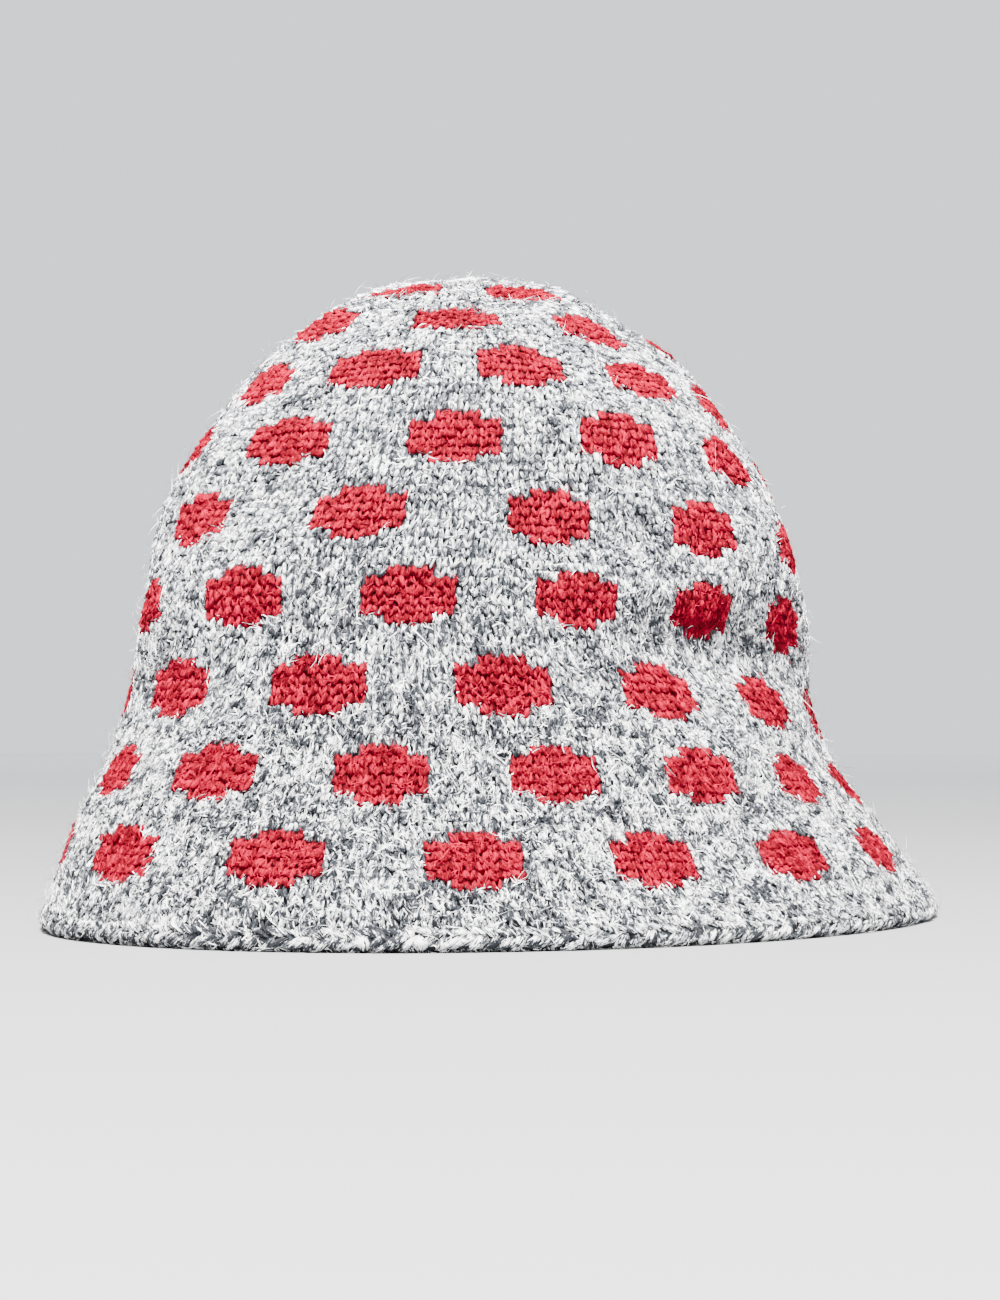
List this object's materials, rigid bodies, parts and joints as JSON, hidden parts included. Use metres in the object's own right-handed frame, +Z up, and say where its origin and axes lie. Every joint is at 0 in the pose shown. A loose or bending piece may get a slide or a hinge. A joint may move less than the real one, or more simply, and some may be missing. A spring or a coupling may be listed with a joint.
{
  "type": "knit bucket hat",
  "caption": "Soft knitted bucket hat with a rounded crown that flows into a short flared brim, a rolled edge and an open hollow for the head.",
  "frame": {"origin": "centre of the hat's bounding box, on the surface that the rim rests on", "axes": "+Z up from the rim to the top of the crown, -Y to the front of the hat, +X to the wearer's left"},
  "size_m": [0.2182, 0.2762, 0.1739],
  "materials": {
    "grey_wool": "heathered light grey wool knit with red wool spots",
    "edge_wool": "heathered light grey wool, a rolled row of cast-off stitches",
    "seam_wool": "grey wool sewing strand with a red strand caught in it"
  },
  "bodies": {
    "root": {"knit_body": "grey_wool", "rolled_edge": "edge_wool", "back_seam": "seam_wool"}
  },
  "joints": []
}
